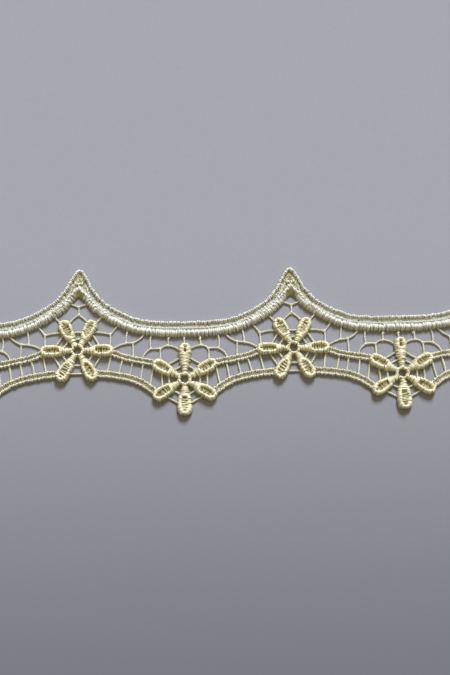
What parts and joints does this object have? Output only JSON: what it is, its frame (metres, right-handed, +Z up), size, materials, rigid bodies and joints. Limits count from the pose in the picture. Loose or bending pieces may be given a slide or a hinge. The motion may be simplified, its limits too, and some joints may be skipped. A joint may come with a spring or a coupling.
{
  "type": "flat length of scalloped flower lace trim",
  "caption": "Flat cut length of corded lace trim: a scalloped satin-cord heading with pointed peaks, a net of thin threads, ladder rails and padded flowers set high and low in turn.",
  "frame": {"origin": "middle of the bounding box, on the flat underside that the trim lies on", "axes": "+X along the trim, +Y across it towards the peaks of the heading, +Z up out of the raised face"},
  "size_m": [0.15, 0.0354, 0.0017],
  "materials": {
    "lace_thread": "glossy cream embroidery thread in padded satin stitch"
  },
  "bodies": {
    "root": {"lace_trim": "lace_thread"}
  },
  "joints": []
}
